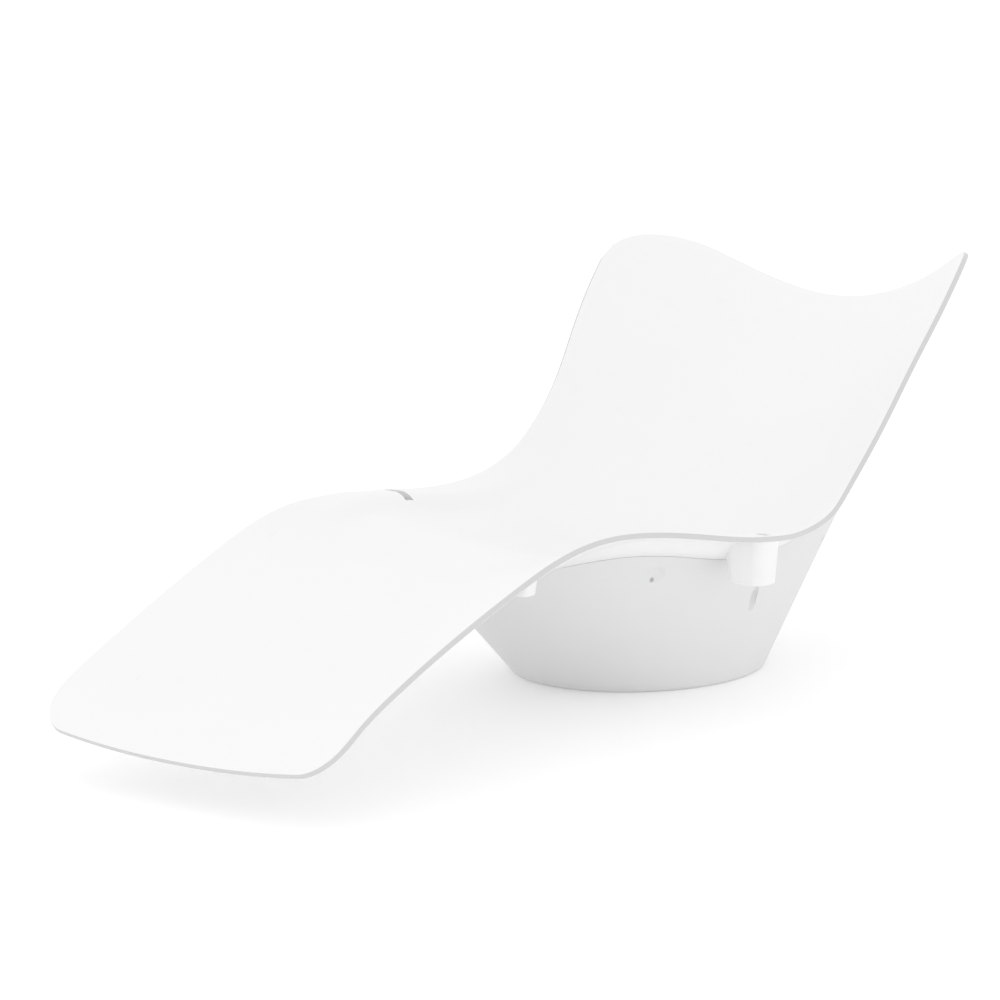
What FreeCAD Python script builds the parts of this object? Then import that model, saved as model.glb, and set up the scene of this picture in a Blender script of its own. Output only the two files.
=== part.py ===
import FreeCAD, Part
import Sketcher
import math
import os

# Spa relaxation lounger: one thin moulded seat shell on a flared hollow tub.
# Frame: X across, Y from the foot end (-) to the head end (+), Z up, floor at zero.

Vector = FreeCAD.Vector

# Driving sizes, in millimetres
SIZES = [
    ("shell_length", 1900),
    ("shell_width", 800),
    ("shell_rise", 700),
    ("shell_thickness", 10),
    ("shell_setback", 5.5),
    ("trim_margin", 8),
    ("ear_rise", 22),
    ("ear_fall", 126),
    ("foot_corner_length", 70),
    ("foot_bow", 4),
    ("seam_gap", 0.8),
    ("tub_floor_half_width", 210),
    ("tub_floor_half_length", 244),
    ("tub_floor_centre", 262),
    ("tub_top_half_width", 330),
    ("tub_top_half_length", 515),
    ("tub_top_centre", 205),
    ("tub_top_height", 290),
    ("tub_wall", 8),
    ("tub_floor_thickness", 12),
    ("foot_proud", 1),
    ("foot_radius", 26),
    ("foot_seat_depth", 4),
    ("foot_spread_across", 90),
    ("foot_front_place", 84),
    ("foot_rear_place", 440),
    ("foot_screw_radius", 2.5),
    ("foot_screw_head_radius", 5),
    ("foot_screw_head_height", 2.8),
    ("foot_screw_length", 9),
    ("foot_screw_recess", 0.8),
    ("socket_place", 51),
    ("socket_rim_inset", 2),
    ("socket_length", 78),
    ("socket_width", 54),
    ("socket_bottom", 217),
    ("socket_end_round", 25),
    ("slot_width", 22),
    ("slot_rim_inset", 10),
    ("slot_length", 50),
    ("slot_bottom", 227),
    ("lug_place", -416),
    ("lug_outer", 254),
    ("lug_length", 64),
    ("lug_width", 44),
    ("lug_bottom", 253),
    ("lug_round", 8),
    ("moulding_round", 3),
    ("moulding_draft", 4),
    ("fixing_height", 225),
    ("front_fixing_place", -61),
    ("rear_fixing_place", 434),
    ("dimple_radius", 60),
    ("dimple_depth", 1),
    ("dimple_lift", 7),
    ("fixing_bore_radius", 4.2),
    ("fixing_seat_depth", 8),
    ("fixing_boss_radius", 18),
    ("fixing_boss_depth", 22),
    ("fixing_clearance", 0.4),
    ("tab_width", 40),
    ("tab_thickness", 20),
    ("tab_drop", 14),
    ("screw_radius", 2),
    ("screw_head_radius", 3.5),
    ("screw_head_height", 4),
    ("screw_length", 27),
    ("screw_socket_radius", 1.6),
    ("screw_socket_floor", 1.8),
    ("washer_radius", 3.9),
    ("washer_thickness", 1),
    ("insert_radius", 3),
    ("insert_length", 10),
    ("fit_clearance", 0.15),
    ("grip_round", 6.6),
    ("grip_along", 24),
    ("grip_depth", 5.5),
    ("grip_place", 196),
    ("grip_height", 157),
]

# Stations from foot to head, each a rib across the shell. Along (Y) they are shares of
# half the length, up (Z) shares of the rise, across (X) shares of half the width:
# centre along, centre up, rim across, rim along, rim up, share of the flanged seat rib.
STATION_SHARES = [
    (-1.050, 0.043, 0.705, -1.050, 0.066, 0.0),
    (-0.995, 0.099, 0.705, -0.995, 0.123, 0.0),
    (-0.937, 0.151, 0.703, -0.937, 0.183, 0.0),
    (-0.842, 0.210, 0.703, -0.842, 0.249, 0.0),
    (-0.695, 0.280, 0.715, -0.695, 0.331, 0.0),
    (-0.547, 0.340, 0.732, -0.547, 0.404, 0.0),
    (-0.421, 0.362, 0.747, -0.421, 0.456, 0.0),
    (-0.316, 0.356, 0.760, -0.316, 0.476, 0.1),
    (-0.210, 0.352, 0.790, -0.210, 0.473, 0.5),
    (-0.105, 0.348, 0.875, -0.110, 0.457, 0.9),
    (-0.010, 0.332, 0.972, -0.018, 0.437, 1.0),
    (0.063, 0.303, 1.000, 0.058, 0.426, 1.0),
    (0.179, 0.276, 0.965, 0.174, 0.414, 0.7),
    (0.295, 0.266, 0.920, 0.294, 0.426, 0.3),
    (0.410, 0.304, 0.888, 0.368, 0.460, 0.1),
    (0.526, 0.374, 0.870, 0.426, 0.506, 0.0),
    (0.632, 0.464, 0.872, 0.516, 0.610, 0.0),
    (0.737, 0.568, 0.897, 0.600, 0.744, 0.0),
    (0.842, 0.676, 0.925, 0.685, 0.877, 0.0),
    (0.937, 0.776, 0.932, 0.766, 0.993, 0.0),
    (1.000, 0.844, 0.940, 0.822, 1.071, 0.0),
    (1.063, 0.914, 0.947, 0.878, 1.151, 0.0),
]

# Places across one half of a rib, as shares from the centre line to the rim and past it
RIB_SHARES = [0, 0.15, 0.3, 0.45, 0.58, 0.69, 0.76, 0.81, 0.85, 0.89, 0.94, 1, 1.05]
TROUGH_POWER = 2.2
SEAT_POWER = 1.6
SEAT_PAN_SHARE = 0.88
SEAT_WALL_START_SHARE = 0.78
SEAT_WALL_END_SHARE = 0.92
EAR_PEAK_SHARE = 0.64
FOOT_CORNER_SHARE = 0.8
OUTLINE_STEPS = 8
SIDE_STEPS = 30

doc = FreeCAD.newDocument("lounger")
sheet = doc.addObject("Spreadsheet::Sheet", "Sizes")
for row, (alias, value) in enumerate(SIZES, start=1):
    sheet.set("A%d" % row, alias)
    sheet.set("B%d" % row, str(value))
    sheet.setAlias("B%d" % row, alias)
doc.recompute()


def size(alias):
    return float(sheet.get(alias))


def add_shape(label, shape):
    feature = doc.addObject("Part::Feature", label)
    feature.Label = label
    feature.Shape = shape.Solids[0]
    feature.Placement = FreeCAD.Placement()
    return feature


# Seat shell: a grid of ribs made into smooth surfaces

def smooth_step(share):
    share = min(max(share, 0), 1)
    return share * share * (3 - 2 * share)


def rib_rise(share, flanged):
    """Rise of a rib from its centre (0) to its rim (1)."""
    share = abs(share)
    trough = share ** TROUGH_POWER
    wall = (share - SEAT_WALL_START_SHARE) / (SEAT_WALL_END_SHARE - SEAT_WALL_START_SHARE)
    pan = SEAT_PAN_SHARE * share ** SEAT_POWER
    seat = pan + (1 - pan) * smooth_step(wall)
    return (1 - flanged) * trough + flanged * seat


def rib_places():
    return [-share for share in reversed(RIB_SHARES[1:])] + RIB_SHARES


def shell_grid():
    half_length = size("shell_length") / 2
    half_width = size("shell_width") / 2
    rise = size("shell_rise")
    setback = size("shell_setback")
    grid = []
    for centre_y, centre_z, rim_x, rim_y, rim_z, flanged in STATION_SHARES:
        rib = []
        for place in rib_places():
            lift = rib_rise(place, flanged)
            rib.append(Vector(place * rim_x * half_width,
                              (centre_y + lift * (rim_y - centre_y)) * half_length - setback,
                              (centre_z + lift * (rim_z - centre_z)) * rise))
        grid.append(rib)
    return grid


def station_places(grid):
    """Length along the centre line from the first station to each one."""
    middle = len(RIB_SHARES) - 1
    places = [0.0]
    for before, after in zip(grid, grid[1:]):
        places.append(places[-1] + (after[middle] - before[middle]).Length)
    return places


def spline_through(points, places):
    curve = Part.BSplineCurve()
    curve.interpolate(Points=points, Parameters=places)
    return curve


def surface_through(grid, along, across):
    ribs = [spline_through(rib, across) for rib in grid]
    columns = [spline_through(list(column), along) for column in zip(*[rib.getPoles() for rib in ribs])]
    surface = Part.BSplineSurface()
    poles = [list(row) for row in zip(*[column.getPoles() for column in columns])]
    surface.buildFromPolesMultsKnots(poles,
                                     columns[0].getMultiplicities(), ribs[0].getMultiplicities(),
                                     columns[0].getKnots(), ribs[0].getKnots(),
                                     False, False, columns[0].Degree, ribs[0].Degree)
    return surface


grid = shell_grid()
along = station_places(grid)
across = [float(place) for place in rib_places()]
top = surface_through(grid, along, across)
thickness = size("shell_thickness")


def shell_point(u, v, depth=0):
    normal = top.normal(u, v)
    if normal.z < 0:
        normal = -normal
    return top.value(u, v) - normal * depth


def sunk_surface(depth):
    sunk = [[shell_point(u, v, depth) for v in across] for u in along]
    return surface_through(sunk, along, across)


def slab(upper, lower):
    """Closed solid between two surfaces that have the same places along and across."""
    faces = [upper.toShape(), lower.toShape()]
    ends = [(upper.uIso(u), lower.uIso(u)) for u in (along[0], along[-1])]
    ends += [(upper.vIso(v), lower.vIso(v)) for v in (across[0], across[-1])]
    faces += [Part.makeRuledSurface(one.toShape(), other.toShape()) for one, other in ends]
    shell = Part.makeShell(faces)
    shell.sewShape()
    solid = Part.makeSolid(shell)
    solid.fix(0.01, 0.01, 0.01)
    return solid


def below(surface):
    """Everything under a surface, down past the floor."""
    reach = size("shell_rise") * 2
    return surface.toShape().extrude(Vector(0, 0, -reach))


def outline_places():
    """The shell's closed outline as places along and across its surface."""
    head = next(u for u, row in zip(along, STATION_SHARES) if row[0] == 1.0)
    foot = along[1]
    rise = size("ear_rise")
    fall = size("ear_fall")
    corner = size("foot_corner_length")
    bow = size("foot_bow")
    half = []
    for step in range(1, OUTLINE_STEPS):
        share = step / OUTLINE_STEPS
        half.append((head + rise * smooth_step(share), EAR_PEAK_SHARE * share))
    for step in range(OUTLINE_STEPS):
        angle = math.pi / 2 * step / OUTLINE_STEPS
        half.append((head - fall + (rise + fall) * math.cos(angle),
                     EAR_PEAK_SHARE + (1 - EAR_PEAK_SHARE) * math.sin(angle)))
    side_start = head - fall
    side_end = foot + bow + corner
    for step in range(SIDE_STEPS):
        half.append((side_start + (side_end - side_start) * step / SIDE_STEPS, 1.0))
    for step in range(OUTLINE_STEPS):
        angle = math.pi / 2 * step / OUTLINE_STEPS
        half.append((side_end - corner * math.sin(angle),
                     FOOT_CORNER_SHARE + (1 - FOOT_CORNER_SHARE) * math.cos(angle)))
    for step in range(OUTLINE_STEPS // 2):
        share = 1 - 2 * step / OUTLINE_STEPS
        half.append((foot + bow * share * share, FOOT_CORNER_SHARE * share))
    other = [(u, -v) for u, v in reversed(half)]
    return [(head, 0.0)] + half + [(foot, 0.0)] + other


def outline_band():
    """Face that cuts the slab square to its surface, all round the outline."""
    margin = size("trim_margin")
    places = outline_places()
    middle = [shell_point(u, v, thickness / 2) for u, v in places]
    params = [0.0]
    for before, after in zip(middle, middle[1:] + middle[:1]):
        params.append(params[-1] + (after - before).Length)
    edges = []
    for depth in (-margin, thickness + margin):
        curve = Part.BSplineCurve()
        curve.interpolate(Points=[shell_point(u, v, depth) for u, v in places],
                          PeriodicFlag=True, Parameters=params)
        edges.append(curve.toShape())
    return Part.makeRuledSurface(edges[0], edges[1])


def trimmed(blank):
    """Cut the blank along the outline and keep what lies inside it."""
    pieces, _ = blank.generalFuse([outline_band()])
    return max(pieces.Solids, key=lambda solid: solid.Volume)


def rim_half_width(place):
    """Half the shell's width at one place along, read from its rim."""
    rim = top.vIso(1.0)
    low, high = along[0], along[-1]
    for _ in range(40):
        middle = (low + high) / 2
        if rim.value(middle).y < place:
            low = middle
        else:
            high = middle
    return rim.value(low).x


def rounded_outline(x_low, x_high, y_low, y_high, height, corner):
    """Closed wire in plan: straight sides and round corners."""
    corner = min(corner, (x_high - x_low) / 2.1, (y_high - y_low) / 2.1)
    centres = [(x_high - corner, y_high - corner), (x_low + corner, y_high - corner),
               (x_low + corner, y_low + corner), (x_high - corner, y_low + corner)]
    arcs = []
    for turn, (x, y) in enumerate(centres):
        circle = Part.Circle(Vector(x, y, height), Vector(0, 0, 1), corner)
        arcs.append(Part.ArcOfCircle(circle, math.pi / 2 * turn, math.pi / 2 * (turn + 1)).toShape())
    edges = []
    for arc, after in zip(arcs, arcs[1:] + arcs[:1]):
        edges += [arc, Part.makeLine(arc.Vertexes[-1].Point, after.Vertexes[0].Point)]
    return Part.Wire(edges)


def moulded_block(x_low, x_high, y_low, y_high, bottom, corner):
    """Block that hangs down, with draft on its sides and a rounded lower edge."""
    draft = size("moulding_draft")
    top_height = size("shell_rise")
    foot = rounded_outline(x_low + draft, x_high - draft, y_low + draft, y_high - draft, bottom, corner)
    root = rounded_outline(x_low, x_high, y_low, y_high, size("tub_top_height"), corner)
    crown = rounded_outline(x_low, x_high, y_low, y_high, top_height, corner)
    lower = Part.makeLoft([foot, root], True, True)
    lower_edges = [edge for edge in lower.Edges if edge.BoundBox.ZMax < bottom + draft]
    lower = lower.makeFillet(size("moulding_round"), lower_edges)
    return lower.fuse(Part.makeLoft([root, crown], True, True)).removeSplitter()


def both_sides(shape):
    return [shape, shape.mirror(Vector(), Vector(1, 0, 0))]


def socket_reach():
    return rim_half_width(size("socket_place")) - size("socket_rim_inset")


def socket_block():
    outer = socket_reach()
    half = size("socket_width") / 2
    return moulded_block(outer - size("socket_length"), outer, size("socket_place") - half,
                         size("socket_place") + half, size("socket_bottom"), size("socket_end_round"))


def socket_slot(side):
    outer = rim_half_width(size("socket_place")) - size("slot_rim_inset")
    low = min(side * outer, side * (outer - size("slot_length")))
    corner = Vector(low, size("socket_place") - size("slot_width") / 2, size("slot_bottom"))
    return Part.makeBox(size("slot_length"), size("slot_width"), size("shell_rise"), corner)


def front_lug():
    half = size("lug_width") / 2
    return moulded_block(size("lug_outer") - size("lug_length"), size("lug_outer"),
                         size("lug_place") - half, size("lug_place") + half,
                         size("lug_bottom"), size("lug_round"))


# Tub: two ellipses set the flare of its wall

def tub_section(height, inset=0):
    share = height / size("tub_top_height")
    measures = []
    for name in ("half_width", "half_length", "centre"):
        floor_value = size("tub_floor_" + name)
        measures.append(floor_value + (size("tub_top_" + name) - floor_value) * share)
    return measures[0] - inset, measures[1] - inset, measures[2]


def ellipse_wire(height, inset=0):
    half_width, half_length, centre = tub_section(height, inset)
    curve = Part.Circle(Vector(), Vector(0, 0, 1), 1).toBSpline()
    for index, (pole, weight) in enumerate(zip(curve.getPoles(), curve.getWeights()), start=1):
        curve.setPole(index, Vector(pole.x * half_width, centre + pole.y * half_length, height), weight)
    return Part.Wire(curve.toShape())


def tub_body(low, inset=0, chamfer=0):
    wires = [ellipse_wire(low + chamfer, inset), ellipse_wire(size("shell_rise"), inset)]
    if chamfer:
        wires.insert(0, ellipse_wire(low, inset + chamfer))
    return Part.makeLoft(wires, True, True)


def wall_frame(place, height):
    """Point on the tub's outer wall, the level way out of it and the way up along it."""
    half_width, half_length, centre = tub_section(height)
    away = (place - centre) / half_length
    point = Vector(half_width * math.sqrt(1 - away * away), place, height)
    outward = Vector(point.x / half_width ** 2, (place - centre) / half_length ** 2, 0)
    outward.normalize()
    higher = tub_section(2 * height)
    upward = Vector(higher[0] / half_width * point.x, higher[2] + away * higher[1], 2 * height) - point
    upward.normalize()
    return point, outward, upward


def bar(point, outward, radius, inner_depth, outer_depth):
    """Level cylinder between two depths measured inwards from a point on the wall."""
    return Part.makeCylinder(radius, inner_depth - outer_depth, point - outward * inner_depth, outward)


def fixing_tab(point, outward):
    """Tab under the shell that stands inside the tub and takes a threaded insert."""
    near = size("fixing_boss_depth") + size("fixing_clearance")
    low = point.z - size("tab_drop")
    corner = Vector(-size("tab_thickness"), -size("tab_width") / 2, low)
    block = Part.makeBox(size("tab_thickness"), size("tab_width"), size("shell_rise"), corner)
    block.rotate(Vector(), Vector(0, 0, 1), math.degrees(math.atan2(outward.y, outward.x)))
    seat = point - outward * near
    block.translate(Vector(seat.x, seat.y, 0))
    return block


def tab_hole(point, outward):
    near = size("fixing_boss_depth") + size("fixing_clearance")
    radius = size("insert_radius") + size("fit_clearance")
    hole = bar(point, outward, radius, near + size("insert_length"), near)
    return hole


def slanted_frame(place, height, side):
    """Point on one side's wall, the level way along it and the way square out of it."""
    point, outward, upward = wall_frame(place, height)
    level = upward.cross(outward)
    normal = level.cross(upward)
    if normal.dot(outward) < 0:
        normal = normal * -1
    for way in (level, normal):
        way.normalize()
    for way in (point, level, normal):
        way.x = side * way.x
    return point, level, normal


def grip_scoop(side):
    """Narrow scoop that runs up the wall below the socket, cut by a ring's outer edge."""
    point, level, normal = slanted_frame(size("grip_place"), size("grip_height"), side)
    half, deep = size("grip_along"), size("grip_depth")
    radius = (half * half + deep * deep) / (2 * deep)
    return Part.makeTorus(radius - size("grip_round"), size("grip_round"),
                          point + normal * (radius - deep), level)


def soft_dimple(fixing_point):
    """Ball that leaves a shallow round dimple above a fixing."""
    side = math.copysign(1, fixing_point.x)
    height = size("fixing_height") + size("dimple_lift")
    point, _, normal = slanted_frame(fixing_point.y, height, side)
    radius = size("dimple_radius")
    return Part.makeSphere(radius, point + normal * (radius - size("dimple_depth")))


def fixings():
    """Name, point on the wall and outward way of each fixing, right side then left."""
    found = []
    for row, alias in (("front", "front_fixing_place"), ("rear", "rear_fixing_place")):
        point, outward, _ = wall_frame(size(alias), size("fixing_height"))
        found.append(("%s_right" % row, point, outward))
        found.append(("%s_left" % row, Vector(-point.x, point.y, point.z), Vector(-outward.x, outward.y, 0)))
    return found


def foot_places():
    across = size("foot_spread_across")
    return [("front_right", across, size("foot_front_place")), ("front_left", -across, size("foot_front_place")),
            ("rear_right", across, size("foot_rear_place")), ("rear_left", -across, size("foot_rear_place"))]


def seat_shell():
    hanging = both_sides(socket_block()) + both_sides(front_lug())
    hanging += [fixing_tab(point, outward) for _, point, outward in fixings()]
    under = below(sunk_surface(thickness / 2))
    blank = slab(top, sunk_surface(thickness)).fuse([block.common(under) for block in hanging])
    holes = [socket_slot(1), socket_slot(-1)]
    holes += [tab_hole(point, outward) for _, point, outward in fixings()]
    for hole in holes:
        blank = blank.cut(hole)
    return trimmed(blank)


def base_tub():
    proud = size("foot_proud")
    outer = tub_body(proud, 0, size("moulding_round"))
    inner = tub_body(proud + size("tub_floor_thickness"), size("tub_wall"))
    tub = outer.cut(inner)
    bosses = []
    cuts = [grip_scoop(1), grip_scoop(-1)]
    past = size("fixing_boss_depth")
    for _, point, outward in fixings():
        bosses.append(bar(point, outward, size("fixing_boss_radius"), past, -past).common(outer))
        cuts.append(soft_dimple(point))
        cuts.append(bar(point, outward, size("fixing_bore_radius"), size("fixing_seat_depth"), -past))
        cuts.append(bar(point, outward, size("screw_radius") + size("fit_clearance"), past, 0))
    pad_top = proud + size("foot_seat_depth")
    pilot = size("foot_screw_radius") + size("fit_clearance")
    pilot_top = size("foot_screw_recess") + size("foot_screw_head_height") + size("foot_screw_length")
    for _, x, y in foot_places():
        seat = size("foot_radius") + size("fit_clearance")
        cuts.append(Part.makeCylinder(seat, pad_top, Vector(x, y, 0)))
        cuts.append(Part.makeCylinder(pilot, pilot_top + size("fixing_clearance"), Vector(x, y, 0)))
    tub = tub.fuse(bosses).cut(cuts)
    return tub.common(below(sunk_surface(thickness + size("seam_gap"))))


# Turned pieces: screws, washers, inserts and foot pads

def measure(names):
    return sum(size(name) for name in names)


def turned_body(label, corners, base, direction):
    """Body of revolution; each corner is the names that add up to its radius and its height."""
    body = doc.addObject("PartDesign::Body", label)
    body.Label = label
    sketch = body.newObject("Sketcher::SketchObject", label + "_profile")
    plane = next(item for item in body.Origin.OriginFeatures if item.Role == "XZ_Plane")
    sketch.AttachmentSupport = (plane, "")
    sketch.MapMode = "FlatFace"
    points = [Vector(measure(radius), measure(height), 0) for radius, height in corners]
    for start, end in zip(points, points[1:] + points[:1]):
        sketch.addGeometry(Part.LineSegment(start, end), False)
    count = len(points)
    for index, (radius, height) in enumerate(corners):
        sketch.addConstraint(Sketcher.Constraint("Coincident", index - 1 if index else count - 1, 2, index, 1))
        bind(sketch, index, "DistanceX", radius, -2)
        bind(sketch, index, "DistanceY", height, -1)
    turned = body.newObject("PartDesign::Revolution", label + "_turned")
    turned.Profile = sketch
    turned.ReferenceAxis = (sketch, ["V_Axis"])
    turned.Angle = 360
    sketch.Visibility = False
    body.Tip = turned
    body.Placement = FreeCAD.Placement(base, FreeCAD.Rotation(Vector(0, 0, 1), direction))
    return body


def bind(sketch, index, kind, names, axis):
    """Tie one corner to the sheet, or to an axis where its distance is nothing."""
    if not names:
        sketch.addConstraint(Sketcher.Constraint("PointOnObject", index, 1, axis))
        return
    row = sketch.addConstraint(Sketcher.Constraint(kind, -1, 1, index, 1, measure(names)))
    sketch.setExpression("Constraints[%d]" % row, " + ".join("Sizes." + name for name in names))


def ring_corners(inner, outer, height):
    return [(inner, []), (outer, []), (outer, height), (inner, height)]


def add_fixings():
    clear = "fit_clearance"
    for name, point, outward in fixings():
        seat = point - outward * size("fixing_seat_depth")
        turned_body("washer_" + name, ring_corners(["screw_radius", clear], ["washer_radius"],
                                                   ["washer_thickness"]), seat, outward)
        tip = seat + outward * (size("washer_thickness") - size("screw_length"))
        shank, head = ["screw_radius"], ["screw_head_radius"]
        under_head, head_top = ["screw_length"], ["screw_length", "screw_head_height"]
        recess = ["screw_socket_radius"]
        recess_floor = ["screw_length", "screw_socket_floor"]
        turned_body("fixing_screw_" + name,
                    [([], []), (shank, []), (shank, under_head), (head, under_head), (head, head_top),
                     (recess, head_top), (recess, recess_floor), ([], recess_floor)], tip, outward)
        mouth = size("fixing_boss_depth") + size("fixing_clearance")
        root = point - outward * (mouth + size("insert_length"))
        turned_body("threaded_insert_" + name, ring_corners(["screw_radius", clear], ["insert_radius"],
                                                            ["insert_length"]), root, outward)


def add_feet():
    up = Vector(0, 0, 1)
    clear = "fit_clearance"
    for name, x, y in foot_places():
        thick = ["foot_proud", "foot_seat_depth"]
        wide = ["foot_screw_head_radius", clear]
        narrow = ["foot_screw_radius", clear]
        step = ["foot_screw_recess", "foot_screw_head_height"]
        outer = ["foot_radius"]
        turned_body("foot_pad_" + name, [(wide, []), (outer, []), (outer, thick), (narrow, thick),
                                         (narrow, step), (wide, step)], Vector(x, y, 0), up)
        shank, head = ["foot_screw_radius"], ["foot_screw_head_radius"]
        head_top = ["foot_screw_head_height"]
        end = ["foot_screw_head_height", "foot_screw_length"]
        turned_body("foot_screw_" + name, [([], []), (head, []), (head, head_top), (shank, head_top),
                                           (shank, end), ([], end)],
                    Vector(x, y, size("foot_screw_recess")), up)


def check_and_write():
    doc.recompute()
    nodes = [item for item in doc.Objects if item.TypeId in ("Part::Feature", "PartDesign::Body")]
    for item in doc.Objects:
        if "Invalid" in item.State or "Error" in item.State:
            raise RuntimeError("failed: " + item.Label)
    os.makedirs("parts", exist_ok=True)
    for node in nodes:
        shape = node.Shape
        if shape.isNull() or not shape.isValid() or len(shape.Solids) != 1:
            raise RuntimeError("bad shape: " + node.Label)
        shape.exportStep("parts/%s.step" % node.Label)
        box = shape.BoundBox
        print("%s %.0f mm3, box %.1f %.1f %.1f to %.1f %.1f %.1f" % (
            node.Label, shape.Volume, box.XMin, box.YMin, box.ZMin, box.XMax, box.YMax, box.ZMax))


add_shape("seat_shell", seat_shell())
add_shape("base_tub", base_tub())
add_fixings()
add_feet()
check_and_write()
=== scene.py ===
import bpy, math
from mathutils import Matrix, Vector


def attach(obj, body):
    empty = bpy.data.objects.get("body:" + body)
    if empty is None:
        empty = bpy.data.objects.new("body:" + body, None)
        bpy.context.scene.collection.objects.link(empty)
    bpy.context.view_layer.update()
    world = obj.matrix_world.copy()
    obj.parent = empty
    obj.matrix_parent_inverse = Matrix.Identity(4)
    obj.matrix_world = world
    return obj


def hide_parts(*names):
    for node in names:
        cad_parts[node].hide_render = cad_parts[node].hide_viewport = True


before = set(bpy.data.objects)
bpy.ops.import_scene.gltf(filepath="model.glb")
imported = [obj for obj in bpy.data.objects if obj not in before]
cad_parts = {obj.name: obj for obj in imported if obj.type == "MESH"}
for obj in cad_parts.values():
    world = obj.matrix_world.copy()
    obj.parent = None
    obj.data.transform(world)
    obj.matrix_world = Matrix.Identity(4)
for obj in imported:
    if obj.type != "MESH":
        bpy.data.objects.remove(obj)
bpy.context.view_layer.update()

# Spa relaxation lounger: a white moulded seat shell on a flared tub.
# Metres, X across, Y from foot to head, Z up, floor at zero.

HALF_LENGTH, HALF_WIDTH, RISE = 0.95, 0.3998, 0.7
SETBACK = 0.0055
THICKNESS, RIM_ROUND = 0.010, 0.0024
EAR_RISE, EAR_FALL, EAR_PEAK_SHARE = 0.022, 0.126, 0.64
FOOT_CORNER, FOOT_BOW, FOOT_CORNER_SHARE = 0.070, 0.004, 0.8
RIB_POWER, SEAT_POWER, SEAT_PAN_SHARE = 2.2, 1.6, 0.88
SEAT_WALL_START, SEAT_WALL_END = 0.78, 0.92
SHELL_ALONG, SHELL_ACROSS = 168, 72

# Ribs from foot to head, as shares of half the length (Y), the rise (Z) and half the width (X):
# centre along, centre up, rim across, rim along, rim up, share of the flanged seat rib.
RIBS = [
    (-1.050, 0.043, 0.705, -1.050, 0.066, 0.0), (-0.995, 0.099, 0.705, -0.995, 0.123, 0.0),
    (-0.937, 0.151, 0.703, -0.937, 0.183, 0.0), (-0.842, 0.210, 0.703, -0.842, 0.249, 0.0),
    (-0.695, 0.280, 0.715, -0.695, 0.331, 0.0), (-0.547, 0.340, 0.732, -0.547, 0.404, 0.0),
    (-0.421, 0.362, 0.747, -0.421, 0.456, 0.0), (-0.316, 0.356, 0.760, -0.316, 0.476, 0.1),
    (-0.210, 0.352, 0.790, -0.210, 0.473, 0.5), (-0.105, 0.348, 0.875, -0.110, 0.457, 0.9),
    (-0.010, 0.332, 0.972, -0.018, 0.437, 1.0), (0.063, 0.303, 1.000, 0.058, 0.426, 1.0),
    (0.179, 0.276, 0.965, 0.174, 0.414, 0.7), (0.295, 0.266, 0.920, 0.294, 0.426, 0.3),
    (0.410, 0.304, 0.888, 0.368, 0.460, 0.1), (0.526, 0.374, 0.870, 0.426, 0.506, 0.0),
    (0.632, 0.464, 0.872, 0.516, 0.610, 0.0), (0.737, 0.568, 0.897, 0.600, 0.744, 0.0),
    (0.842, 0.676, 0.925, 0.685, 0.877, 0.0), (0.937, 0.776, 0.932, 0.766, 0.993, 0.0),
    (1.000, 0.844, 0.940, 0.822, 1.071, 0.0), (1.063, 0.914, 0.947, 0.878, 1.151, 0.0),
]
FOOT_RIB, HEAD_RIB = 1, 20  # the first and last ribs inside the outline

SOCKET_PLACE, SOCKET_WIDTH, SOCKET_BOTTOM = 0.051, 0.064, 0.217
SOCKET_OUTER, SOCKET_LENGTH, SOCKET_CORNER = 0.399, 0.080, 0.022
SLOT_OUTER, SLOT_LENGTH, SLOT_WIDTH, SLOT_BOTTOM = 0.390, 0.050, 0.022, 0.227
LUG_PLACE, LUG_WIDTH, LUG_BOTTOM = -0.411, 0.038, 0.2545
LUG_OUTER, LUG_LENGTH, LUG_CORNER = 0.254, 0.064, 0.008
MOULDING_ROUND, MOULDING_DRAFT = 0.003, 0.004
BLOCK_TOP, SLOT_TOP = 0.32, 0.5

# Half width, half length and centre along of the tub at the floor and at its top height.
TUB_FLOOR, TUB_TOP, TUB_TOP_HEIGHT = (0.210, 0.244, 0.262), (0.330, 0.515, 0.205), 0.290
TUB_WALL, TUB_LIFT, TUB_FLOOR_THICKNESS, TUB_FLOOR_INSET = 0.008, 0.001, 0.012, 0.060
TUB_FOOT_ROUND, TUB_EDGE_ROUND, SEAM_GAP = 0.003, 0.0006, 0.0004
TUB_SIDES, OUTER_ROWS, INNER_ROWS = 192, 16, 8

FIXING_HEIGHT, FRONT_FIXING, REAR_FIXING = 0.225, -0.061, 0.434
HEAD_BORE_RADIUS, HEAD_BORE_DEPTH = 0.0042, 0.008
SCREW_BORE_RADIUS, SCREW_BORE_DEPTH, BORE_CLEARANCE = 0.00215, 0.03, 0.02
DIMPLE_RADIUS, DIMPLE_DEPTH, DIMPLE_LIFT = 0.026, 0.0050, 0.010
FIXING_BOSS_RADIUS, FIXING_BOSS_DEPTH = 0.018, 0.020
GRIP_PLACE, GRIP_HEIGHT, GRIP_HALF, GRIP_DEPTH, GRIP_ROUND = 0.196, 0.157, 0.0255, 0.0120, 0.0092
GRIP_BOSS_RADIUS, GRIP_BOSS_DEPTH = 0.036, 0.018
BOSS_START = 0.004
PAD_PLACES = [(x, y) for x in (-0.09, 0.09) for y in (0.084, 0.440)]
PAD_RECESS_RADIUS, PAD_RECESS_DEPTH = 0.02615, 0.005


# Helpers for modelling by hand

def only(obj):
    bpy.ops.object.select_all(action="DESELECT")
    obj.select_set(True)
    bpy.context.view_layer.objects.active = obj


def operate(obj, *steps):
    only(obj)
    bpy.ops.object.mode_set(mode="EDIT")
    for step in steps:
        step()
    bpy.ops.object.mode_set(mode="OBJECT")


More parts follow.
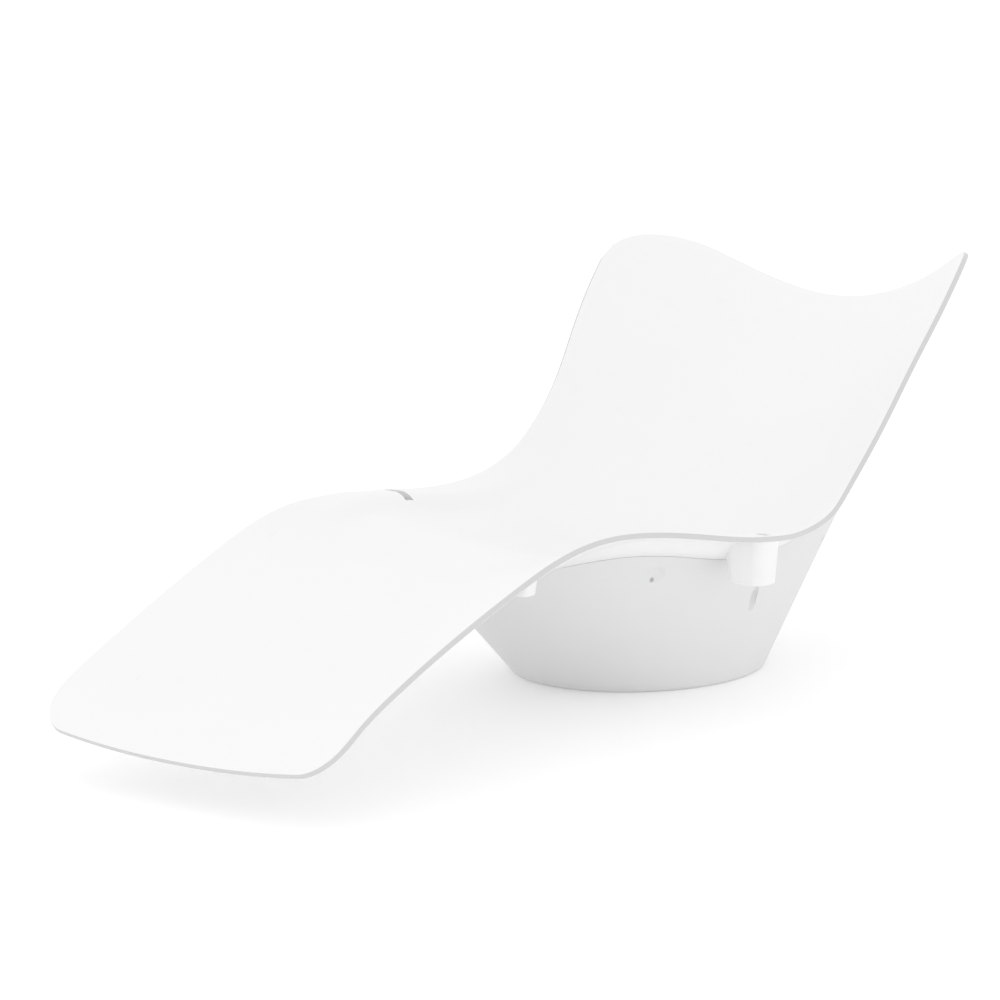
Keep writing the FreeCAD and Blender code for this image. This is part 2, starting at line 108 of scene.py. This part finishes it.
def choose_edges(obj, wanted):
    operate(obj, lambda: bpy.ops.mesh.select_mode(type="EDGE"),
            lambda: bpy.ops.mesh.select_all(action="DESELECT"))
    points = obj.data.vertices
    for edge in obj.data.edges:
        a, b = (points[index].co for index in edge.vertices)
        edge.select = wanted(a, b)


def apply(obj, kind, **settings):
    only(obj)
    modifier = obj.modifiers.new(kind.lower(), kind)
    for name, value in settings.items():
        setattr(modifier, name, value)
    bpy.ops.object.modifier_apply(modifier=modifier.name)


def carve(obj, tool, operation="DIFFERENCE"):
    apply(obj, "BOOLEAN", object=tool, operation=operation, solver="MANIFOLD")
    bpy.data.objects.remove(tool)


def settle(obj):
    only(obj)
    bpy.ops.object.transform_apply(location=True, rotation=True, scale=True)


def add_grid(across, along):
    bpy.ops.mesh.primitive_grid_add(x_subdivisions=across, y_subdivisions=along, size=2)
    return bpy.context.object


def grid_cells(grid, across, along):
    """Each vertex of a flat grid with its column and row."""
    for vertex in grid.data.vertices:
        yield vertex, round((vertex.co.x + 1) / 2 * across), round((vertex.co.y + 1) / 2 * along)


def add_block(low, high):
    middle = [(a + b) / 2 for a, b in zip(low, high)]
    bpy.ops.mesh.primitive_cube_add(size=1, location=middle, scale=[b - a for a, b in zip(low, high)])
    block = bpy.context.object
    settle(block)
    return block


def add_cylinder(radius, start, end, sides=48):
    way = end - start
    bpy.ops.mesh.primitive_cylinder_add(vertices=sides, radius=radius, depth=way.length,
                                        location=(start + end) / 2,
                                        rotation=way.to_track_quat("Z", "Y").to_euler())
    bar = bpy.context.object
    settle(bar)
    return bar


def finish_piece(obj, name, node):
    settle(obj)
    bpy.ops.object.shade_smooth_by_angle(angle=math.radians(40))
    obj.name = obj.data.name = name
    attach(obj, "root")
    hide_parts(node)


# Shader maths written as expressions

class Wire:
    def __init__(self, finish, socket):
        self.finish, self.socket = finish, socket

    def maths(self, operation, *values):
        return self.finish.node("ShaderNodeMath", {"operation": operation}, list(values))

    def __add__(self, other):
        return self.maths("ADD", self, other)

    def __sub__(self, other):
        return self.maths("SUBTRACT", self, other)

    def __rsub__(self, other):
        return self.maths("SUBTRACT", other, self)

    def __mul__(self, other):
        return self.maths("MULTIPLY", self, other)

    __radd__ = __add__
    __rmul__ = __mul__

    def held(self):
        return self.maths("MINIMUM", self.maths("MAXIMUM", self, 0.0), 1.0)


class Finish:
    def __init__(self, name):
        self.material = bpy.data.materials.new(name)
        self.material.use_nodes = True
        self.nodes = self.material.node_tree.nodes
        self.links = self.material.node_tree.links
        self.shader = self.nodes["Principled BSDF"]
        self.place = self.node("ShaderNodeTexCoord", {}, {}, "Object")

    def node(self, kind, settings, values, out=0):
        made = self.nodes.new(kind)
        for name, value in settings.items():
            setattr(made, name, value)
        pairs = values.items() if isinstance(values, dict) else enumerate(values)
        for name, value in pairs:
            self.put(made.inputs[name], value)
        return Wire(self, made.outputs[out])

    def put(self, socket, value):
        if isinstance(value, Wire):
            self.links.new(value.socket, socket)
        else:
            socket.default_value = value

    def noise(self, scale, detail=3.0, roughness=0.55, stretch=None):
        place = self.place
        if stretch:
            place = self.node("ShaderNodeMapping", {}, {"Vector": place, "Scale": stretch}, "Vector")
        return self.node("ShaderNodeTexNoise", {}, {"Vector": place, "Scale": scale, "Detail": detail,
                                                    "Roughness": roughness}, "Fac")

    def mix(self, share, first, second):
        return self.node("ShaderNodeMix", {"data_type": "RGBA"}, {0: share, 6: first, 7: second}, 2)

    def bump(self, height, strength, distance, under=None):
        values = {"Height": height, "Strength": strength, "Distance": distance}
        if under:
            values["Normal"] = under
        return self.node("ShaderNodeBump", {}, values, "Normal")

    def set(self, **values):
        for name, value in values.items():
            self.put(self.shader.inputs[name.replace("_", " ")], value)
        return self.material


def tone(value, warmth=0.0):
    return (value + warmth, value, value - warmth, 1.0)


def moulded_white(name, base, shade, roughness, painted_floor_shade):
    """Satin moulded plastic: faint cloudiness, fine grain, slight flow waves, light scuffs and painted shade
    darkening towards the floor.
    """
    painted_floor_shade_height, scuff_and_shade_tone = 0.05, tone(0.60, 0.006)
    finish = Finish(name)
    cloud = finish.noise(5.0, 4.0)
    speck = finish.noise(420.0, 2.0)
    scuff = finish.noise(60.0, 6.0, 0.7, (1.0, 0.25, 1.0))
    scuffed = ((scuff - 0.62) * 6.0).held()
    height = finish.node("ShaderNodeSeparateXYZ", {}, {"Vector": finish.place}, "Z")
    # Painted shade: darker towards the floor over the lowest 5 cm, mottled by noise; the same dark tone also serves
    # the real scuffs.
    painted_floor_shaded = (1.0 - height * (1.0 / painted_floor_shade_height)).held() * painted_floor_shade
    colour = finish.mix((cloud * 0.8 + speck * 0.2).held(), base, shade)
    colour = finish.mix((scuffed * 0.12 + painted_floor_shaded * finish.noise(30.0)).held(), colour, scuff_and_shade_tone)
    wave = finish.bump(finish.noise(14.0, 2.0), 0.10, 0.002)
    grain = finish.bump(speck, 0.06, 0.0004, wave)
    return finish.set(Base_Color=colour, Roughness=(roughness + (cloud - 0.5) * 0.10 + scuffed * 0.12).held(),
                      Normal=grain, Specular_IOR_Level=0.45)


def stainless():
    finish = Finish("stainless_screw")
    turned = finish.noise(900.0, 3.0, 0.6, (1.0, 1.0, 6.0))
    colour = finish.mix(turned, tone(0.52), tone(0.66, 0.004))
    return finish.set(Base_Color=colour, Metallic=1.0, Roughness=0.22 + turned * 0.22,
                      Normal=finish.bump(turned, 0.10, 0.0002))


def brass():
    finish = Finish("turned_brass")
    turned = finish.noise(700.0, 3.0)
    colour = finish.mix(turned, (0.62, 0.42, 0.16, 1.0), (0.78, 0.56, 0.25, 1.0))
    return finish.set(Base_Color=colour, Metallic=1.0, Roughness=0.25 + turned * 0.2,
                      Normal=finish.bump(turned, 0.10, 0.0002))


def rubber():
    finish = Finish("foot_rubber")
    grain = finish.noise(600.0, 4.0)
    colour = finish.mix(finish.noise(40.0), tone(0.030), tone(0.055, 0.002))
    return finish.set(Base_Color=colour, Roughness=0.62 + grain * 0.25, Normal=finish.bump(grain, 0.35, 0.0004))


def pale_floor():
    finish = Finish("pale_floor")
    cloud = finish.noise(1.5, 2.0)
    colour = finish.mix(cloud, tone(0.89), tone(0.91))
    return finish.set(Base_Color=colour, Roughness=0.85 + cloud * 0.05, Emission_Color=tone(1.0),
                      Emission_Strength=0.17)


shell_white = moulded_white("moulded_shell_white", tone(0.915), tone(0.895, 0.001), 0.36, 0.0)
# The rim faces get a darker copy of the shell's white: painted shade on the rim band, not a different plastic.
rim_painted_shade = moulded_white("moulded_rim_painted_shade", tone(0.65), tone(0.63, 0.001), 0.42, 0.0)
# The tub's white takes 0.6 of the painted shade towards the floor.
tub_white = moulded_white("moulded_tub_white", tone(0.97), tone(0.955, 0.001), 0.44, 0.6)


# Shape of the moulded shell

def smooth_step(share):
    share = min(max(share, 0), 1)
    return share * share * (3 - 2 * share)


def rib_rise(share, flanged):
    share = abs(share)
    pan = SEAT_PAN_SHARE * share ** SEAT_POWER
    seat = pan + (1 - pan) * smooth_step((share - SEAT_WALL_START) / (SEAT_WALL_END - SEAT_WALL_START))
    return (1 - flanged) * share ** RIB_POWER + flanged * seat


def rib_point(rib, share):
    centre_y, centre_z, rim_x, rim_y, rim_z, flanged = rib
    lift = rib_rise(share, flanged)
    return Vector((share * rim_x * HALF_WIDTH,
                   (centre_y + lift * (rim_y - centre_y)) * HALF_LENGTH - SETBACK,
                   (centre_z + lift * (rim_z - centre_z)) * RISE))


def spline_bends(places, points):
    """Second derivatives of the smooth curve through the points, for each place."""
    last = len(points) - 1
    ratios, sums = [0.0], [Vector()]
    for k in range(1, last):
        before, after = places[k] - places[k - 1], places[k + 1] - places[k]
        pull = 6 * ((points[k + 1] - points[k]) / after - (points[k] - points[k - 1]) / before)
        weight = 2 * (before + after) - before * ratios[k - 1]
        ratios.append(after / weight)
        sums.append((pull - before * sums[k - 1]) / weight)
    bends = [Vector() for _ in points]
    for k in range(last - 1, 0, -1):
        bends[k] = sums[k] - ratios[k] * bends[k + 1]
    return bends


def spline_point(places, points, bends, place):
    k = max(i for i in range(len(places) - 1) if places[i] <= place or i == 0)
    width = places[k + 1] - places[k]
    b = (place - places[k]) / width
    a = 1 - b
    return (a * points[k] + b * points[k + 1]
            + ((a ** 3 - a) * bends[k] + (b ** 3 - b) * bends[k + 1]) * width * width / 6)


def rib_places():
    """Distance of each rib from the first, along the shell's centre line."""
    places = [0.0]
    for before, after in zip(RIBS, RIBS[1:]):
        places.append(places[-1] + (rib_point(after, 0) - rib_point(before, 0)).length)
    return places


PLACES = rib_places()
FOOT_PLACE, HEAD_PLACE = PLACES[FOOT_RIB], PLACES[HEAD_RIB]


def ends(share):
    """Where the outline starts and stops along the shell, for one share across it."""
    share = abs(share)
    if share < EAR_PEAK_SHARE:
        head = HEAD_PLACE + EAR_RISE * smooth_step(share / EAR_PEAK_SHARE)
    else:
        turn = (share - EAR_PEAK_SHARE) / (1 - EAR_PEAK_SHARE)
        head = HEAD_PLACE - EAR_FALL + (EAR_RISE + EAR_FALL) * math.sqrt(max(1 - turn * turn, 0))
    if share < FOOT_CORNER_SHARE:
        foot = FOOT_PLACE + FOOT_BOW * (share / FOOT_CORNER_SHARE) ** 2
    else:
        turn = (share - FOOT_CORNER_SHARE) / (1 - FOOT_CORNER_SHARE)
        foot = FOOT_PLACE + FOOT_BOW + FOOT_CORNER * (1 - math.sqrt(max(1 - turn * turn, 0)))
    return foot, head


def column_share(column):
    """Share across the shell of one column of its grid, closer together near the rims."""
    even = 2 * column / SHELL_ACROSS - 1
    return math.copysign(0.55 * abs(even) + 0.45 * math.sin(abs(even) * math.pi / 2), even)


def column_points(column):
    share = column_share(column)
    points = [rib_point(rib, share) for rib in RIBS]
    bends = spline_bends(PLACES, points)
    foot, head = ends(share)
    return [spline_point(PLACES, points, bends, foot + (head - foot) * row / SHELL_ALONG)
            for row in range(SHELL_ALONG + 1)]


def model_shell():
    shell = add_grid(SHELL_ACROSS, SHELL_ALONG)
    columns = [column_points(column) for column in range(SHELL_ACROSS + 1)]
    for vertex, column, row in grid_cells(shell, SHELL_ACROSS, SHELL_ALONG):
        vertex.co = columns[column][row]
    for material in (shell_white, rim_painted_shade):
        shell.data.materials.append(material)
    # The rim faces take the second material, the darker copy with painted shade.
    apply(shell, "SOLIDIFY", thickness=THICKNESS, offset=-1, use_even_offset=True, material_offset_rim=1)
    apply(shell, "BEVEL", width=RIM_ROUND, segments=4, limit_method="ANGLE", angle_limit=math.radians(50),
          use_clamp_overlap=False)
    return shell


shell = model_shell()
bpy.context.view_layer.update()


# Side sockets and closed lugs that hang under the shell

def side_box(side, outer, length, place, width, bottom, top):
    """Low and high corners of a box whose outer end is on one side."""
    across = sorted((side * outer, side * (outer - length)))
    return (across[0], place - width / 2, bottom), (across[1], place + width / 2, top)


def model_hanging_block(low, high, corner):
    """Drafted block with round upright corners and a round lower edge, up into the shell's wall."""
    block = add_block(low, high)
    for vertex in block.data.vertices:
        if vertex.co.z < low[2] + MOULDING_ROUND:
            vertex.co.x += math.copysign(MOULDING_DRAFT, (low[0] + high[0]) / 2 - vertex.co.x)
            vertex.co.y += math.copysign(MOULDING_DRAFT, (low[1] + high[1]) / 2 - vertex.co.y)
    choose_edges(block, lambda a, b: abs(a.z - b.z) > 0.01)
    operate(block, lambda: bpy.ops.mesh.bevel(offset=corner, segments=10))
    choose_edges(block, lambda a, b: max(a.z, b.z) < low[2] + 0.001)
    operate(block, lambda: bpy.ops.mesh.bevel(offset=MOULDING_ROUND, segments=4))
    for vertex in block.data.vertices:
        if vertex.co.z > high[2] - 0.001:
            above, below = Vector((vertex.co.x, vertex.co.y, 1)), Vector((0, 0, -1))
            hit, place, _, _ = shell.ray_cast(above, below)
            if hit:
                vertex.co.z = place.z - THICKNESS * 0.6
    return block


def model_sockets():
    blocks, slots = [], []
    for side in (1, -1):
        low, high = side_box(side, SOCKET_OUTER, SOCKET_LENGTH, SOCKET_PLACE, SOCKET_WIDTH,
                             SOCKET_BOTTOM, BLOCK_TOP)
        blocks.append(model_hanging_block(low, high, SOCKET_CORNER))
        low, high = side_box(side, SLOT_OUTER, SLOT_LENGTH, SOCKET_PLACE, SLOT_WIDTH, SLOT_BOTTOM, SLOT_TOP)
        slots.append(add_block(low, high))
        low, high = side_box(side, LUG_OUTER, LUG_LENGTH, LUG_PLACE, LUG_WIDTH, LUG_BOTTOM, BLOCK_TOP)
        blocks.append(model_hanging_block(low, high, LUG_CORNER))
    return blocks, slots


# Tub under the seat

def tub_section(height):
    share = height / TUB_TOP_HEIGHT
    return [a + (b - a) * share for a, b in zip(TUB_FLOOR, TUB_TOP)]


def tub_point(turn, height, inset=0.0):
    half_width, half_length, centre = tub_section(height)
    return Vector(((half_width - inset) * math.cos(turn), centre + (half_length - inset) * math.sin(turn),
                   height))


def rim_height(turn, inset):
    """Height where one face of the tub's wall meets the gap under the shell."""
    start = tub_point(turn, 0.12, inset)
    way = (tub_point(turn, 0.3, inset) - start).normalized()
    _, place, normal, _ = shell.ray_cast(start, way)
    return place.z - SEAM_GAP * way.z / max(abs(normal.dot(way)), 0.3)


def tub_rows(outer_top, inner_top):
    """Section through the tub's wall: height and inset from its outer face, from under the floor."""
    low, high, edge = TUB_LIFT + 2 * TUB_FOOT_ROUND, outer_top - 0.004, TUB_EDGE_ROUND
    rows = [(TUB_LIFT, TUB_FLOOR_INSET), (TUB_LIFT, TUB_FOOT_ROUND),
            (TUB_LIFT + TUB_FOOT_ROUND * 0.3, TUB_FOOT_ROUND * 0.3), (TUB_LIFT + TUB_FOOT_ROUND, 0)]
    rows += [(low + (high - low) * step / OUTER_ROWS, 0) for step in range(OUTER_ROWS + 1)]
    rows += [(outer_top - edge, 0), (outer_top - edge / 3, edge / 3), (outer_top, edge)]
    rows += [(inner_top, TUB_WALL - edge), (inner_top - edge, TUB_WALL)]
    low, high = TUB_LIFT + TUB_FLOOR_THICKNESS, inner_top - 0.004
    rows += [(low + (high - low) * (1 - step / INNER_ROWS), TUB_WALL) for step in range(INNER_ROWS + 1)]
    return rows + [(low, TUB_FLOOR_INSET)]


def model_tub():
    turns = [2 * math.pi * step / TUB_SIDES for step in range(TUB_SIDES)]
    profiles = [tub_rows(rim_height(turn, 0), rim_height(turn, TUB_WALL)) for turn in turns]
    rows = len(profiles[0]) - 1
    tub = add_grid(TUB_SIDES, rows)
    for vertex, column, row in grid_cells(tub, TUB_SIDES, rows):
        step = column % TUB_SIDES
        vertex.co = tub_point(turns[step], *profiles[step][row])
    operate(tub, lambda: bpy.ops.mesh.select_all(action="SELECT"),
            lambda: bpy.ops.mesh.remove_doubles(threshold=0.00001),
            lambda: bpy.ops.mesh.normals_make_consistent(inside=False))
    choose_edges(tub, lambda a, b: False)
    operate(tub, lambda: bpy.ops.mesh.select_non_manifold(), lambda: bpy.ops.mesh.fill_holes(sides=0),
            lambda: bpy.ops.mesh.select_all(action="SELECT"),
            lambda: bpy.ops.mesh.normals_make_consistent(inside=False))
    return tub


def wall_frame(place, height, side):
    """Point on one side's wall, the level ways out of it and along it, and the way square out of it."""
    half_width, half_length, centre = tub_section(height)
    turn = math.asin((place - centre) / half_length)
    point = tub_point(turn, height)
    out = Vector((point.x / half_width ** 2, (place - centre) / half_length ** 2, 0)).normalized()
    up = (tub_point(turn, height * 1.5) - point).normalized()
    square = Vector((-out.y, out.x, 0)).cross(up).normalized()
    square *= math.copysign(1, square.dot(out))
    return [Vector((side * way.x, way.y, way.z)) for way in (point, out, up.cross(square), square)]


def detail_fixing(tub, place, side):
    wall, out, _, square = wall_frame(place, FIXING_HEIGHT, side)
    carve(tub, add_cylinder(FIXING_BOSS_RADIUS, wall - square * BOSS_START, wall - square * FIXING_BOSS_DEPTH),
          "UNION")
    if place == FRONT_FIXING:
        above, _, _, square = wall_frame(place, FIXING_HEIGHT + DIMPLE_LIFT, side)
        bpy.ops.mesh.primitive_uv_sphere_add(segments=160, ring_count=80, radius=DIMPLE_RADIUS,
                                             location=above + square * (DIMPLE_RADIUS - DIMPLE_DEPTH))
        carve(tub, bpy.context.object)
    mouth = wall + out * BORE_CLEARANCE
    carve(tub, add_cylinder(HEAD_BORE_RADIUS, wall - out * HEAD_BORE_DEPTH, mouth, 32))
    carve(tub, add_cylinder(SCREW_BORE_RADIUS, wall - out * SCREW_BORE_DEPTH, mouth, 24))


def detail_grip(tub, side):
    wall, _, level, square = wall_frame(GRIP_PLACE, GRIP_HEIGHT, side)
    carve(tub, add_cylinder(GRIP_BOSS_RADIUS, wall - square * BOSS_START, wall - square * GRIP_BOSS_DEPTH),
          "UNION")
    radius = (GRIP_HALF ** 2 + GRIP_DEPTH ** 2) / (2 * GRIP_DEPTH)
    bpy.ops.mesh.primitive_torus_add(major_radius=radius - GRIP_ROUND, minor_radius=GRIP_ROUND,
                                     major_segments=160, minor_segments=48,
                                     location=wall + square * (radius - GRIP_DEPTH),
                                     rotation=level.to_track_quat("Z", "Y").to_euler())
    carve(tub, bpy.context.object)


tub = model_tub()
blocks, slots = model_sockets()
for place in (FRONT_FIXING, REAR_FIXING):
    for side in (1, -1):
        detail_fixing(tub, place, side)
for side in (1, -1):
    detail_grip(tub, side)
for x, y in PAD_PLACES:
    carve(tub, add_cylinder(PAD_RECESS_RADIUS, Vector((x, y, -0.01)), Vector((x, y, PAD_RECESS_DEPTH)), 64))
for block in blocks:
    carve(shell, block, "UNION")
for slot in slots:
    carve(shell, slot)

tub.data.materials.append(tub_white)
finish_piece(shell, "seat_shell_moulding", "seat_shell")
finish_piece(tub, "base_tub_moulding", "base_tub")

FINISHES = {"fixing_screw": stainless(), "washer": stainless(), "foot_screw": stainless(),
            "threaded_insert": brass(), "foot_pad": rubber()}
for node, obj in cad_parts.items():
    for start, material in FINISHES.items():
        if node.startswith(start):
            obj.data.materials.clear()
            obj.data.materials.append(material)


# Floor, light and camera

bpy.ops.mesh.primitive_plane_add(size=2000)
floor = bpy.context.object
floor.name = "studio_floor"
floor.data.materials.append(pale_floor())

bpy.ops.object.light_add(type="SUN", location=(0, 0, 4))
daylight = bpy.context.object
daylight.name = "overhead_diffuser"
daylight.data.energy = 0.12
daylight.data.angle = math.radians(70)
daylight.rotation_euler = Vector((0.25, 0.35, -1)).to_track_quat("-Z", "Y").to_euler()

world = bpy.data.worlds.new("white_studio")
world.use_nodes = True
sky = world.node_tree.nodes["Background"].inputs
sky["Color"].default_value = (1, 1, 1, 1)
sky["Strength"].default_value = 1.0
scene = bpy.context.scene
scene.world = world
scene.view_settings.view_transform = "Standard"
scene.view_settings.look = "None"

bpy.ops.object.camera_add(location=(3.03, -4.306, 1.195),
                          rotation=(math.radians(80.61), 0, math.radians(36.09)))
camera = bpy.context.object
camera.name = "photo_camera"
camera.data.sensor_fit = "HORIZONTAL"
camera.data.sensor_width = 36
camera.data.lens = 115.2
camera.data.clip_end = 200
scene.camera = camera

bpy.context.view_layer.update()
